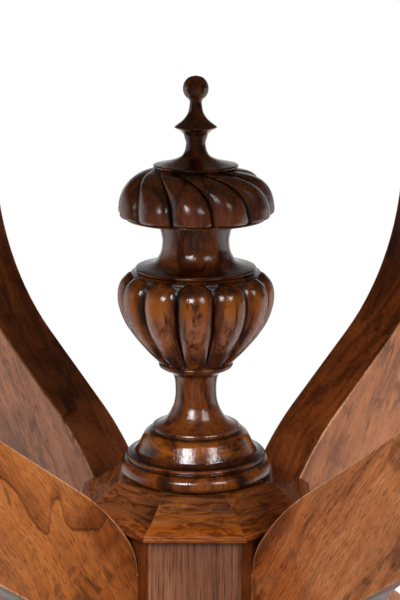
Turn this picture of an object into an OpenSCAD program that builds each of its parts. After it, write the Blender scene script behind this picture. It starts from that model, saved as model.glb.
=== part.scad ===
// Octagonal side table: a veneered octagonal top on a shallow frieze, carried by four S-curved
// plank legs that meet an octagonal post, with a gadrooned urn finial on the post's moulded cap.
// Z is up, the origin is on the floor under the middle, and the front looks along -Y.

/* [Overall] */
// Height from the floor to the top surface
table_h = 750; // [720:1:800]
// Width of the top across two opposite flats
top_w = 660; // [640:1:720]

/* [Top] */
// Thickness of the whole top
top_t = 24; // [20:0.5:32]
// Thickness of the veneers laid on the top
veneer_t = 1.2; // [0.6:0.1:3]
// Width of the edge moulding, seen from above
edge_w = 24; // [20:1:34]
// Radius of the moulding's half-round nose
nose_r = 7; // [4:0.5:9]
// Step between the nose and the hollow below it
nose_step = 1.5; // [0.5:0.5:4]
// Width of the cross-banded border inside the moulding
banding_w = 38; // [20:1:60]

/* [Frieze] */
// Distance of the frieze's face behind the edge of the top
frieze_inset = 30; // [26:1:40]
// Thickness of the frieze boards
frieze_t = 18; // [12:1:24]
// Height of the frieze boards
frieze_h = 46; // [40:1:60]
// Length of a glue block along each board
block_leg = 34; // [20:1:50]
// Height of the glue blocks
block_h = 40; // [20:1:40]

/* [Bearers] */
// Width of the two crossed bearers
bearer_w = 42; // [38:1:60]
// Depth of the two crossed bearers
bearer_h = 30; // [26:1:36]
// Radius of the shanks of the bearer screws
screw_r = 2.2; // [1.5:0.1:3]
// Radius of the heads of the bearer screws
screw_head_r = 4.2; // [3.5:0.1:5]
// Thickness of the heads of the bearer screws
screw_head_t = 2.6; // [1.5:0.1:4]
// Depth of the counterbore for each screw head
screw_sink = 10; // [4:1:14]
// Length of the bearer screws under the head
screw_l = 34; // [28:1:38]
// Distance of the inner screws from the middle
screw_in = 70; // [40:1:100]
// Distance of the outer screws from the middle
screw_out = 170; // [130:1:190]

/* [Legs] */
// Thickness of the leg planks
leg_t = 36; // [24:1:38]
// Width of the leg across its sweep
leg_w = 62.5; // [50:0.5:66]
// Distance of the uprights behind the inner faces of the frieze
leg_setback = 15.5; // [4:0.5:24]
// Slope of the arm between shoulder and knee, in degrees
arm_slope = 37.5; // [33:0.5:42]
// Radius of the tight start of the shoulder, against the post
shoulder_r = 38; // [20:1:60]
// Turn of that tight start, in degrees
shoulder_turn = 33; // [20:1:40]
// Radius of the long sweep of the shoulder
sweep_r = 145; // [110:1:160]
// Radius of the knee's inner edge
knee_r = 135; // [100:1:150]
// Radius of the waist's hollow outer edge
waist_r = 40; // [30:1:80]
// Height of the waist, about which the upper and lower arms mirror
waist_z = 326.3; // [290:0.1:350]

/* [Leg joints] */
// Thickness of the tenons on the legs
tenon_t = 12; // [8:1:16]
// Length of the stub tenon in the post
post_tenon_l = 22; // [12:1:30]
// Length of the tenon in the bearer
top_tenon_l = 20; // [10:1:24]
// Shoulder left at each end of a tenon
tenon_shoulder = 8; // [4:1:14]
// Clearance of a tenon in its mortise, on each side
tenon_gap = 0.1; // [0.02:0.01:0.3]

/* [Post and cap] */
// Width of the post across two opposite flats
post_w = 124; // [112:1:136]
// Thickness of the post's facings
facing_t = 3; // [1:0.5:6]
// Height of post left bare above and below the leg joints
post_reveal = 21.6; // [18:0.1:40]
// Overhang of the cap's half-round edge
cap_overhang = 4.9; // [2:0.1:6]
// Height of the cap
cap_h = 18.4; // [14:0.1:26]
// Radius of the cap's half-round edge
cap_bead_r = 1.5; // [0.8:0.1:2.5]
// Width of the swelling above that edge
cap_swell_w = 6.6; // [3:0.1:9]
// Radius of the worn crest round the cap's flat top
cap_crest_r = 1.4; // [0.6:0.1:2.5]
// Half width of the cap's flat top
cap_top_a = 44.8; // [44:0.1:50]
// Half width of the block inside the cap's mouldings
cap_core_a = 38; // [24:1:41]
// Thickness of the plate under the post
base_t = 12; // [8:1:20]
// Overhang of the plate under the post
base_overhang = 4; // [2:0.5:6]

/* [Finial foot] */
// Radius of the foot's torus
foot_r = 43.6; // [40:0.1:45]
// Height of the foot's torus
torus_h = 9.6; // [6:0.1:10]
// Bulge of the foot's torus beyond its foot and its top
torus_bulge = 3.8; // [2:0.1:5]
// Radius of the thin rim over the torus
rim_r = 39.8; // [36:0.1:42]
// Height of that rim's edge above the cap
rim_z = 11.6; // [10:0.1:13]
// Thickness of the two thin rims
rim_t = 1.5; // [0.8:0.1:2.5]
// Radius of the rim on top of the bell
bell_rim_r = 24.8; // [22:0.1:27]
// Height of that rim's edge above the cap
bell_rim_z = 27.8; // [25:0.1:31]
// Radius of the stem at its waist
stem_r = 11.7; // [10:0.1:14]
// Height of the top of the stem above the cap
stem_top_z = 60.6; // [56:0.1:66]
// Radius of the top of the stem
stem_top_r = 14; // [13:0.1:17]

/* [Finial bowl] */
// Radius of the bead ring under the lobes
bead_r = 21.1; // [19:0.1:24]
// Largest radius over the lobes
bowl_r = 44.2; // [40:0.1:48]
// Height of the bowl from the stem to the collar
bowl_h = 58.4; // [52:0.1:64]
// Number of lobes round the bowl
bowl_lobes = 12; // [10:1:18]
// Depth of the grooves between the lobes
bowl_groove = 5.6; // [2:0.1:7]

/* [Finial neck] */
// Radius of the collar's rim
collar_r = 34; // [31:0.1:36]
// Radius of the neck at its waist
neck_r = 18.8; // [16:0.1:22]
// Height of the neck from the bowl to the lid
neck_h = 29.3; // [26:0.1:36]
// Height of the collar's shoulder above its underside
shoulder_h = 7.2; // [6:0.1:10]

/* [Finial lid] */
// Radius of the lid over its lobes
lid_r = 44; // [40:0.1:48]
// Height of the lid, without the spire
lid_h = 28.7; // [22:0.1:34]
// Height of the plain band under the lid's lobes
lid_band_h = 2; // [1:0.1:4]
// Recess of that band behind the lobes
lid_band_inset = 4; // [1:0.1:5]
// Number of swirled lobes round the lid
lid_lobes = 11; // [8:1:14]
// Depth of the grooves between the swirled lobes
lid_groove = 4; // [2:0.1:6]
// Turn of a groove from the spire to the rim, in degrees
lid_swirl = 47; // [0:1:60]

/* [Finial spire] */
// Radius of the disc under the spire
disc_r = 23.6; // [21:0.1:26]
// Thickness of the edge of that disc
disc_t = 1.6; // [1:0.1:3]
// Radius of the spire's thin shaft
shaft_r = 5.4; // [4:0.1:7]
// Radius of the small collar on the spire
small_collar_r = 11.9; // [9:0.1:14]
// Radius of the ball on the tip
ball_r = 7.2; // [5:0.1:9]
// Height of the spire, with its ball
spire_h = 50.8; // [46:0.1:58]
// Radius of the neck under the ball
tip_neck_r = 3.4; // [2:0.1:5]

/* [Finial joints] */
// Radius of the spigot that holds the finial in the post
foot_spigot_r = 12; // [8:0.5:16]
// Length of that spigot
foot_spigot_l = 45; // [30:1:60]
// Radius of the spigots between the turned pieces
spigot_r = 6; // [4:0.1:7]
// Length of those spigots
spigot_l = 14; // [8:1:18]
// Clearance round a spigot or a screw
spigot_gap = 0.05; // [0.02:0.01:0.1]

/* [Hidden] */
$fn = 96;

// Colours, as the photograph shows them
walnut = [0.45, 0.22, 0.10];
walnut_pale = [0.52, 0.28, 0.15];
rosewood = [0.24, 0.09, 0.05];
pine = [0.66, 0.50, 0.33];
steel = [0.45, 0.45, 0.46];

// Octagon geometry: a flat's half angle, and the step from one flat to the next
half_side = 22.5;
side_step = 45;

// Heights and half widths of the top
top_a = top_w / 2;
core_a = top_a - edge_w;
core_t = top_t - veneer_t;
top_under_z = table_h - top_t;
veneer_z = table_h - veneer_t;
field_a = core_a - banding_w;
frieze_a = top_a - frieze_inset;
frieze_in_a = frieze_a - frieze_t;
bearer_z = top_under_z - bearer_h;
leg_spread = frieze_in_a - leg_setback - leg_w;

// The legs' shoulder and knee, as heights above the waist
shoulder_du = shoulder_r * (1 - cos(shoulder_turn)) + sweep_r * (cos(shoulder_turn) - sin(arm_slope));
shoulder_dz = shoulder_r * sin(shoulder_turn) + sweep_r * (cos(arm_slope) - sin(shoulder_turn));
post_a = post_w / 2;
joint_half = (leg_w + waist_r) * cos(arm_slope) - shoulder_dz;
arm_start = [post_a + shoulder_du, joint_half + shoulder_dz];
waist_centre = [arm_start[0] + (leg_w + waist_r) * sin(arm_slope), 0];
knee_start_u = leg_spread - knee_r * (1 - sin(arm_slope));
arm_l = (knee_start_u - arm_start[0]) / cos(arm_slope);
knee_centre = [leg_spread - knee_r, arm_start[1] + arm_l * sin(arm_slope) + knee_r * cos(arm_slope)];

// Heights of the post, its cap and the finial's pieces
post_top = waist_z + joint_half + post_reveal;
post_bottom = waist_z - joint_half - post_reveal;
post_core_a = post_a - facing_t;
cap_a = post_a + cap_overhang;
cap_top = post_top + cap_h;
bowl_z = cap_top + stem_top_z;
neck_z = bowl_z + bowl_h;
lid_z = neck_z + neck_h;
spire_z = lid_z + lid_h;

// Turn of a flat that is a diagonal one, where the legs are
function on_diagonal(i) = i % 2 == 0;

// Points on an arc about c, from angle a0 to angle a1
function arc(c, r, a0, a1, n = 8) =
  [for (i = [0:n]) let (a = a0 + (a1 - a0) * i / n) c + r * [cos(a), sin(a)]];

// Points from p to just short of q, bowed to the right of the way by s
function bow(p, q, s, n = 6) =
  [for (i = [0:n - 1]) let (t = i / n, d = q - p) p + t * d + 4 * t * (1 - t) * s * [d[1], -d[0]] / norm(d)];

// Trapezium of one side of an octagonal ring, lying on the +X flat
function mitred_plan(a_in, a_out) =
  let (w = tan(half_side)) [[a_in, -a_in * w], [a_out, -a_out * w], [a_out, a_out * w], [a_in, a_in * w]];

module octagon(a) {
  rotate(half_side) circle(r = a / cos(half_side), $fn = 8);
}

module mitred_board(i, a_in, a_out, z, h) {
  rotate([0, 0, (i - 1) * side_step])
    translate([0, 0, z])
      linear_extrude(h) polygon(mitred_plan(a_in, a_out));
}

// One side of a moulding whose section is given as half width and height
module mitred_moulding(i, section) {
  reach = 2 * max([for (p = section) p[0]]);
  low = min([for (p = section) p[1]]);
  high = max([for (p = section) p[1]]);
  rotate([0, 0, (i - 1) * side_step])
    intersection() {
      rotate([90, 0, 0]) linear_extrude(reach, center = true) polygon(section);
      translate([0, 0, low - 1]) linear_extrude(high - low + 2) polygon(mitred_plan(1, reach));
    }
}

module on_legs() {
  for (k = [0:3]) rotate([0, 0, half_side * 2 + k * 90]) children();
}

module screw_places() {
  on_legs() for (u = [screw_in, screw_out]) translate([u, 0, 0]) children();
}

// Top

module top_core() {
  color(pine)
    difference() {
      translate([0, 0, top_under_z]) linear_extrude(core_t) octagon(core_a);
      screw_places()
        translate([0, 0, bearer_z]) cylinder(r = screw_r + spigot_gap, h = screw_sink + screw_l + 0.5);
    }
}

module top_veneer(i) {
  w = tan(half_side) * field_a;
  color(walnut)
    rotate([0, 0, (i - 1) * side_step])
      translate([0, 0, veneer_z])
        linear_extrude(veneer_t) polygon([[0, 0], [field_a, -w], [field_a, w]]);
}

module top_crossbanding() {
  color(walnut_pale)
    for (i = [1:8]) mitred_board(i, field_a, core_a, veneer_z, veneer_t);
}

function edge_section() =
  let (step_a = top_a - nose_r - nose_step, under_nose = table_h - 2 * nose_r, hollow_r = top_t - 2 * nose_r)
    concat(
      [[core_a, top_under_z]],
      arc([step_a, top_under_z], hollow_r, 180, 90, 10),
      arc([top_a - nose_r, under_nose + nose_r], nose_r, -90, 90, 16),
      [[core_a, table_h]]
    );

module top_moulding(i) {
  color(rosewood) mitred_moulding(i, edge_section());
}

// Frieze and bearers

module frieze_board(i) {
  color(walnut) mitred_board(i, frieze_in_a, frieze_a, top_under_z - frieze_h, frieze_h);
}

module frieze_glue_blocks() {
  corner = frieze_in_a / cos(half_side);
  color(pine)
    for (k = [0:7])
      rotate([0, 0, half_side + k * side_step])
        translate([corner, 0, top_under_z - block_h])
          linear_extrude(block_h)
            polygon([
              [0, 0],
              block_leg * [-sin(half_side), cos(half_side)],
              block_leg * [-sin(half_side), -cos(half_side)]
            ]);
}

// A bearer along +X with its mortises, its screw holes and half its depth cut out in the middle
module bearer(lap_z) {
  lap = bearer_h / 2;
  mortise_w = leg_w - 2 * tenon_shoulder + 2 * tenon_gap;
  mortise_t = tenon_t + 2 * tenon_gap;
  difference() {
    translate([-frieze_in_a, -bearer_w / 2, bearer_z]) cube([2 * frieze_in_a, bearer_w, bearer_h]);
    translate([-bearer_w / 2, -bearer_w, lap_z]) cube([bearer_w, 2 * bearer_w, lap]);
    for (s = [-1, 1]) {
      translate([s * (leg_spread + leg_w / 2) - mortise_w / 2, -mortise_t / 2, bearer_z])
        cube([mortise_w, mortise_t, top_tenon_l + tenon_gap]);
      for (u = [screw_in, screw_out])
        translate([s * u, 0, bearer_z]) {
          cylinder(r = screw_r + spigot_gap, h = bearer_h);
          cylinder(r = screw_head_r + 1, h = screw_sink);
        }
    }
  }
}

module bearer_lower() {
  color(pine) rotate([0, 0, 45]) bearer(bearer_z + bearer_h / 2);
}

module bearer_upper() {
  color(pine) rotate([0, 0, 135]) bearer(bearer_z);
}

module bearer_screws() {
  color(steel)
    screw_places()
      translate([0, 0, bearer_z + screw_sink]) {
        cylinder(r = screw_r, h = screw_l);
        translate([0, 0, -screw_head_t]) cylinder(r = screw_head_r, h = screw_head_t);
      }
}

// Legs

// Outline of one arm, from its joint on the post out along the inner edge, over its end
// and back along the outer edge to the waist, as distance from the middle and height over the waist
function arm_outline(reach) =
  let (
    tight_centre = [post_a + shoulder_r, joint_half],
    tight_end = 180 - shoulder_turn,
    sweep_centre = tight_centre - (sweep_r - shoulder_r) * [cos(tight_end), sin(tight_end)]
  )
    concat(
      arc(tight_centre, shoulder_r, 180, tight_end, 6),
      [for (i = [1:8]) arc(sweep_centre, sweep_r, tight_end, 90 + arm_slope, 8)[i]],
      arc(knee_centre, knee_r, arm_slope - 90, 0, 14),
      [[leg_spread, reach], [leg_spread + leg_w, reach]],
      arc(knee_centre, knee_r + leg_w, 0, arm_slope - 90, 16),
      arc(waist_centre, waist_r, 90 + arm_slope, 180, 12)
    );

function leg_outline() =
  let (upper = arm_outline(bearer_z - waist_z), lower = arm_outline(waist_z), n = len(lower))
    concat(
      [for (p = upper) [p[0], waist_z + p[1]]],
      [for (i = [2:n]) [lower[n - i][0], waist_z - lower[n - i][1]]]
    );

module leg(k) {
  post_tenon_h = 2 * (joint_half - tenon_shoulder);
  top_tenon_w = leg_w - 2 * tenon_shoulder;
  rotate([0, 0, 45 + 90 * k]) {
    rotate([90, 0, 0]) linear_extrude(leg_t, center = true) polygon(leg_outline());
    // Stub that fills the facing's slot and meets the core of the post
    translate([post_core_a, -leg_t / 2, waist_z - joint_half]) cube([facing_t, leg_t, 2 * joint_half]);
    translate([post_core_a - post_tenon_l, -tenon_t / 2, waist_z - post_tenon_h / 2])
      cube([post_tenon_l, tenon_t, post_tenon_h]);
    translate([leg_spread + tenon_shoulder, -tenon_t / 2, bearer_z])
      cube([top_tenon_w, tenon_t, top_tenon_l]);
  }
}

module leg_back_right() {
  color(walnut) leg(0);
}

module leg_back_left() {
  color(walnut) leg(1);
}

module leg_front_left() {
  color(walnut) leg(2);
}

module leg_front_right() {
  color(walnut_pale) leg(3);
}

// Post, cap and base plate

module post_core() {
  mortise_h = 2 * (joint_half - tenon_shoulder + tenon_gap);
  mortise_t = tenon_t + 2 * tenon_gap;
  mortise_l = post_tenon_l + tenon_gap;
  color(pine)
    difference() {
      translate([0, 0, post_bottom]) linear_extrude(post_top - post_bottom) octagon(post_core_a);
      on_legs()
        translate([post_core_a - mortise_l, -mortise_t / 2, waist_z - mortise_h / 2])
          cube([mortise_l + 1, mortise_t, mortise_h]);
      translate([0, 0, cap_top - foot_spigot_l - 0.5])
        cylinder(r = foot_spigot_r + spigot_gap, h = foot_spigot_l);
    }
}

module post_facing(i) {
  color(on_diagonal(i) ? walnut_pale : walnut)
    difference() {
      mitred_board(i, post_core_a, post_a, post_bottom, post_top - post_bottom);
      if (on_diagonal(i))
        rotate([0, 0, (i - 1) * side_step])
          translate([post_core_a - 1, -leg_t / 2, waist_z - joint_half])
            cube([facing_t + 2, leg_t, 2 * joint_half]);
    }
}

module cap_core() {
  color(pine)
    difference() {
      translate([0, 0, post_top]) linear_extrude(cap_h) octagon(cap_core_a);
      translate([0, 0, post_top - 1]) cylinder(r = foot_spigot_r + spigot_gap, h = cap_h + 2);
    }
}

// Section of the cap: flat top, worn crest, slightly hollow slope, swelling and half-round edge
function cap_section() =
  let (
    bead = [cap_a - cap_bead_r, post_top + cap_bead_r],
    swell_out = [cap_a - cap_bead_r, post_top + 2 * cap_bead_r + 0.1],
    swell_in = swell_out + cap_swell_w * [-1, 0.55],
    crest = [cap_top_a - cap_crest_r, cap_top - cap_crest_r]
  )
    concat(
      [[cap_core_a, post_top]],
      arc(bead, cap_bead_r, -90, 90, 8),
      bow(swell_out, swell_in, 0.7, 6),
      bow(swell_in, crest + cap_crest_r * [cos(40), sin(40)], -0.4, 6),
      arc(crest, cap_crest_r, 40, 90, 4),
      [[cap_core_a, cap_top]]
    );

module cap_moulding(i) {
  color(walnut) mitred_moulding(i, cap_section());
}

module base_plate() {
  color(walnut) {
    translate([0, 0, post_bottom - base_t / 2]) linear_extrude(base_t / 2) octagon(post_a + base_overhang);
    translate([0, 0, post_bottom - base_t]) linear_extrude(base_t / 2) octagon(post_a);
  }
}

// Finial

// Section of the foot: torus, thin rim, bell, second rim and stem, as radius and height
function foot_section() =
  let (
    torus_a = foot_r - torus_bulge,
    oval = [torus_bulge, 0.52 * torus_h],
    turn = arc([0, 0], 1, -66, 84, 14),
    torus = [for (p = turn) [torus_a + oval[0] * p[0], torus_h - oval[1] * (1 - p[1])]],
    bell_foot = [rim_r - 0.8, rim_z + rim_t],
    bell_mid = [rim_r - 7.2, rim_z + 5.8],
    bell_top = [bell_rim_r + 2.2, bell_rim_z - 0.4],
    stem_foot = [bell_rim_r - 0.8, bell_rim_z + rim_t],
    stem_curl = [stem_r + 2.7, bell_rim_z + 9.4],
    stem_waist = [stem_r, (bell_rim_z + stem_top_z) / 2 + 5]
  )
    concat(
      [[0, 0], [torus[0][0], 0]],
      torus,
      bow([torus_a - 0.6, torus_h + 0.3], [rim_r - 0.6, rim_z], -0.5, 4),
      [[rim_r - 0.6, rim_z], [rim_r, rim_z + 0.3], [rim_r, rim_z + rim_t * 0.7]],
      bow(bell_foot, bell_mid, -1.3, 6),
      bow(bell_mid, bell_top, 0.7, 6),
      [bell_top, [bell_rim_r - 0.6, bell_rim_z]],
      [[bell_rim_r, bell_rim_z + 0.3], [bell_rim_r, bell_rim_z + rim_t * 0.8]],
      bow(stem_foot, stem_curl, -1.6, 8),
      bow(stem_curl, stem_waist, -0.8, 6),
      bow(stem_waist, [stem_top_r, stem_top_z], -0.4, 6),
      [[stem_top_r, stem_top_z], [0, stem_top_z]]
    );

module finial_foot() {
  color(rosewood)
    translate([0, 0, cap_top]) {
      difference() {
        rotate_extrude() polygon(foot_section());
        translate([0, 0, stem_top_z - spigot_l - 0.5]) cylinder(r = spigot_r + spigot_gap, h = spigot_l + 1);
      }
      translate([0, 0, -foot_spigot_l]) cylinder(r = foot_spigot_r, h = foot_spigot_l);
    }
}

// A closed skin over rings of points, the lowest ring first
module skin(rings) {
  n = len(rings[0]);
  m = len(rings);
  sides = [
    for (j = [0:m - 2], i = [0:n - 1])
      let (a = j * n + i, b = j * n + (i + 1) % n)
        each [[a, b + n, b], [a, a + n, b + n]]
  ];
  polyhedron(
    points = [for (ring = rings) each ring],
    faces = concat(sides, [[for (i = [0:n - 1]) i], [for (i = [n - 1:-1:0]) (m - 1) * n + i]])
  );
}

// Height of a lobe's back across its width, where x runs from -1 to 1 and w is the part it fills
function lobe(x, w) = abs(x) < w ? sqrt(1 - (x / w) * (x / w)) : 0;

// The bowl's outline over the crowns of its lobes: a pear from the bead ring to the widest level,
// then a quarter ellipse in under the collar
bowl_wide = 0.733;
bowl_foot = 0.1;
under_collar_r = collar_r - 1;
function pear_r(t) =
  bead_r - 1 + (bowl_r - bead_r + 1) * pow(sin(90 * (t - bowl_foot) / (bowl_wide - bowl_foot)), 0.92);

// A ring of the pear at level t, and one of the quarter ellipse at angle f: radius, height,
// groove depth and the share of its pitch that a lobe fills
function pear_level(t) =
  let (k = (t - bowl_foot) / (bowl_wide - bowl_foot))
    [pear_r(t), t * bowl_h, bowl_groove * pow(k, 0.55), min(1, 0.72 + 2.4 * k)];
function top_level(f) =
  [
    under_collar_r + (bowl_r - under_collar_r) * cos(f),
    bowl_h * (bowl_wide + (1 - bowl_wide) * sin(f)),
    bowl_groove * pow(cos(f), 0.7),
    f < 34 ? 1 : sqrt(max(0.03, 1 - pow((f - 34) / 47, 2)))
  ];

// A ring with a lobe centred on the front
function bowl_ring(level, points) =
  let (n = bowl_lobes * points)
    [
      for (i = [0:n - 1])
        let (x = 2 * ((i % points) / points) - 1, q = level[0] - level[2] * (1 - lobe(x, level[3])))
          ring_point(q, level[1], 360 * (i + points / 2) / n)
    ];

function ring_point(r, z, a) = [r * sin(a), -r * cos(a), z];

function plain_ring(r, z, n, turn = 0) = [for (i = [0:n - 1]) ring_point(r, z, 360 * i / n + turn)];

module finial_bowl() {
  points = 12;
  n = bowl_lobes * points;
  turn = 180 / bowl_lobes;
  foot = [[stem_top_r, 0], [bead_r - 2.4, 1.5], [bead_r, 3.4], [bead_r, 4.6], [bead_r - 1, 5.6]];
  color(rosewood)
    translate([0, 0, bowl_z]) {
      difference() {
        skin(concat(
          [for (p = foot) plain_ring(p[0], p[1], n, turn)],
          [for (t = [0.12, 0.16, 0.22, 0.3, 0.39, 0.49, 0.6]) bowl_ring(pear_level(t), points)],
          [for (f = [0, 16, 31, 44, 55, 64, 71, 77]) bowl_ring(top_level(f), points)],
          [plain_ring(under_collar_r, bowl_h, n, turn)]
        ));
        translate([0, 0, bowl_h - spigot_l - 0.5]) cylinder(r = spigot_r + spigot_gap, h = spigot_l + 1);
      }
      translate([0, 0, -spigot_l]) cylinder(r = spigot_r, h = spigot_l);
    }
}

// Section of the neck: collar with a thin rim, hollow shoulder and flared neck
function neck_section() =
  let (
    collar_top = [collar_r - 0.6, 2.3],
    shoulder_foot = [neck_r + 4.8, shoulder_h - 2.2],
    shoulder = [neck_r + 2.7, shoulder_h],
    waist = [neck_r, shoulder_h + 9],
    flare = [neck_r + 4.4, neck_h]
  )
    concat(
      [[0, 0], [under_collar_r, 0]],
      [[collar_r - 0.5, 0.3], [collar_r, 0.9], [collar_r, 1.6]],
      bow(collar_top, shoulder_foot, -0.3, 5),
      bow(shoulder_foot, shoulder, -0.2, 3),
      bow(shoulder, waist, -0.6, 6),
      bow(waist, flare, -0.9, 8),
      [flare, [0, neck_h]]
    );

module finial_neck() {
  color(rosewood)
    translate([0, 0, neck_z]) {
      difference() {
        rotate_extrude() polygon(neck_section());
        translate([0, 0, neck_h - spigot_l - 0.5]) cylinder(r = spigot_r + spigot_gap, h = spigot_l + 1);
      }
      translate([0, 0, -spigot_l]) cylinder(r = spigot_r, h = spigot_l);
    }
}

// A swirled lobe is fuller towards its leading side
function petal(x) = pow(sin(180 * pow(x, 1.3)), 0.55);

// A ring of the lid, where up runs from 0 at the rim to 1 under the spire. The grooves turn most
// near the spire
function lid_ring(up, points) =
  let (
    n = lid_lobes * points,
    z = lid_band_h + 0.2 * lid_h + (0.8 * lid_h - lid_band_h) * up,
    r = disc_r - 1 + (lid_r - disc_r + 1) * sqrt(1 - max(0, up) * max(0, up)),
    d = lid_groove * (1 - 0.55 * up * up),
    turn = lid_swirl * pow(1 - max(0, up), 0.35)
  )
    [
      for (i = [0:n - 1])
        ring_point(r - d * (1 - petal((i % points) / points)), z, 360 * i / n + turn)
    ];

module finial_lid() {
  points = 12;
  levels = [-0.25, -0.12, 0.05, 0.22, 0.4, 0.56, 0.7, 0.81, 0.89, 0.95, 0.985];
  n = lid_lobes * points;
  band_r = lid_r - lid_band_inset;
  color(rosewood)
    translate([0, 0, lid_z]) {
      difference() {
        skin(concat(
          [plain_ring(band_r - 1, 0, n, lid_swirl), plain_ring(band_r, 0.6, n, lid_swirl)],
          [plain_ring(band_r - 1.6, lid_band_h, n, lid_swirl)],
          [for (up = levels) lid_ring(up, points)],
          [plain_ring(disc_r - 2, lid_h, n)]
        ));
        translate([0, 0, lid_h - spigot_l - 0.5]) cylinder(r = spigot_r + spigot_gap, h = spigot_l + 1);
      }
      translate([0, 0, -spigot_l]) cylinder(r = spigot_r, h = spigot_l);
    }
}

// Section of the spire: disc, hollow cone, thin shaft, small collar, neck and ball
function spire_section() =
  let (
    cone_top = [shaft_r + 3.1, 6.1],
    shaft = [shaft_r, 13.4],
    ball_z = spire_h - ball_r,
    collar_z = ball_z - 21.2,
    collar_foot = [shaft_r + 4, collar_z - 1.6],
    hollow = [shaft_r - 0.6, collar_z + 7],
    neck_low = [tip_neck_r, ball_z - 8],
    neck_high = [tip_neck_r + 1, ball_z - 5.2]
  )
    concat(
      [[0, 0], [disc_r - 0.6, 0], [disc_r, 0.4], [disc_r, disc_t]],
      bow([disc_r - 0.6, disc_t + 0.3], cone_top, -0.6, 6),
      bow(cone_top, shaft, -0.9, 6),
      bow(shaft, collar_foot, -1.2, 6),
      [[small_collar_r - 0.5, collar_z - 0.6], [small_collar_r, collar_z]],
      [[small_collar_r - 0.3, collar_z + 0.8]],
      bow([small_collar_r - 1, collar_z + 1.4], hollow, -0.7, 5),
      bow(hollow, neck_low, -0.3, 4),
      bow(neck_low, neck_high, -0.2, 3),
      arc([0, ball_z], ball_r, -46, 90, 16)
    );

module finial_spire() {
  color(rosewood)
    translate([0, 0, spire_z]) {
      rotate_extrude() polygon(spire_section());
      translate([0, 0, -spigot_l]) cylinder(r = spigot_r, h = spigot_l);
    }
}

top_core();
for (i = [1:8]) top_veneer(i);
top_crossbanding();
for (i = [1:8]) top_moulding(i);
for (i = [1:8]) frieze_board(i);
frieze_glue_blocks();
bearer_lower();
bearer_upper();
bearer_screws();
leg_back_right();
leg_back_left();
leg_front_left();
leg_front_right();
post_core();
for (i = [1:8]) post_facing(i);
cap_core();
for (i = [1:8]) cap_moulding(i);
base_plate();
finial_foot();
finial_bowl();
finial_neck();
finial_lid();
finial_spire();
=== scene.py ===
import math

import bmesh
import bpy
from mathutils import Matrix, Vector


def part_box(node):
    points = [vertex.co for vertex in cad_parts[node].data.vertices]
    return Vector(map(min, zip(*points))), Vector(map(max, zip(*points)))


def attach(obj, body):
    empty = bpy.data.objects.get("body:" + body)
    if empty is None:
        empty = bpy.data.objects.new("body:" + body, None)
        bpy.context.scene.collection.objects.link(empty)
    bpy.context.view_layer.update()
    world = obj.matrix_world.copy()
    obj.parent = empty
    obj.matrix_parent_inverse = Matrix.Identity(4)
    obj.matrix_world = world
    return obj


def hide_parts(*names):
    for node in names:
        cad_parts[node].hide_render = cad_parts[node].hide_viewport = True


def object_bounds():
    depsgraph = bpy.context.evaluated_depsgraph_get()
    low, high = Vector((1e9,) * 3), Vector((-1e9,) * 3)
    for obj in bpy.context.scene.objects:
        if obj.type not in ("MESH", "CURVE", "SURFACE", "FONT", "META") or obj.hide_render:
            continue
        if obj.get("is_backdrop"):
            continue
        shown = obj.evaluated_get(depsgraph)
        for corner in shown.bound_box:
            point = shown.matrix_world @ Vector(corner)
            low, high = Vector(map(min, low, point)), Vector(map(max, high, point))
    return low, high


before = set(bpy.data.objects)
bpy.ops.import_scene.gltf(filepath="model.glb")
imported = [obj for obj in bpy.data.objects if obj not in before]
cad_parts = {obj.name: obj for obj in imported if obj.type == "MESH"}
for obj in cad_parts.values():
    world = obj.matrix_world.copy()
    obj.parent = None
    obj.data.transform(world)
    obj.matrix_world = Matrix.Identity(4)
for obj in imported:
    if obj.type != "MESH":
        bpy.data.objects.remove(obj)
cadLow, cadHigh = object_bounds()
scene = bpy.context.scene
print("frame loaded:", len(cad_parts), "nodes")

# Places that several pieces share, in metres; the finial stands on the cap
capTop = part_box("cap_core")[1].z
finialHigh = {"foot": 0.0606, "bowl": 0.0584, "neck": 0.0293, "lid": 0.0287}
bowlZ = capTop + finialHigh["foot"]
neckZ = bowlZ + finialHigh["bowl"]
lidZ = neckZ + finialHigh["neck"]
spireZ = lidZ + finialHigh["lid"]
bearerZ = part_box("bearer_lower")[0].z
waistZ = 0.3263  # middle of the legs' narrow part
eighth = math.radians(45.0)


# Node trees

class Wire:  # an output socket; arithmetic on it adds Math nodes to its tree
    def __init__(self, tree, socket):
        self.tree = tree
        self.socket = socket

    def maths(self, operation, *values):
        sockets = dict(enumerate(values))
        return addNode(self.tree, "ShaderNodeMath", {"operation": operation}, sockets)

    def other(self, name):  # another output of the same node
        return Wire(self.tree, self.socket.node.outputs[name])

    def __add__(self, value):
        return self.maths("ADD", self, value)

    def __radd__(self, value):
        return self.maths("ADD", value, self)

    def __sub__(self, value):
        return self.maths("SUBTRACT", self, value)

    def __rsub__(self, value):
        return self.maths("SUBTRACT", value, self)

    def __mul__(self, value):
        return self.maths("MULTIPLY", self, value)

    def __rmul__(self, value):
        return self.maths("MULTIPLY", value, self)

    def __truediv__(self, value):
        return self.maths("DIVIDE", self, value)

    def __pow__(self, value):
        return self.maths("POWER", self, value)

    def __abs__(self):
        return self.maths("ABSOLUTE", self)

    def __round__(self):
        return self.maths("ROUND", self)

    def atLeast(self, value):
        return self.maths("MAXIMUM", self, value)

    def fraction(self):
        return self.maths("FRACT", self)

    def sine(self):
        return self.maths("SINE", self)

    def cosine(self):
        return self.maths("COSINE", self)

    def ease(self, low, high):  # 0 at low, 1 at high, smooth between
        settings = {"interpolation_type": "SMOOTHSTEP"}
        sockets = {0: self, 1: low, 2: high, 3: 0.0, 4: 1.0}
        return addNode(self.tree, "ShaderNodeMapRange", settings, sockets)

    def between(self, a, b, c, d):  # 1 from b to c, fading to 0 at a and at d
        return self.ease(a, b) * self.ease(d, c)


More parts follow.
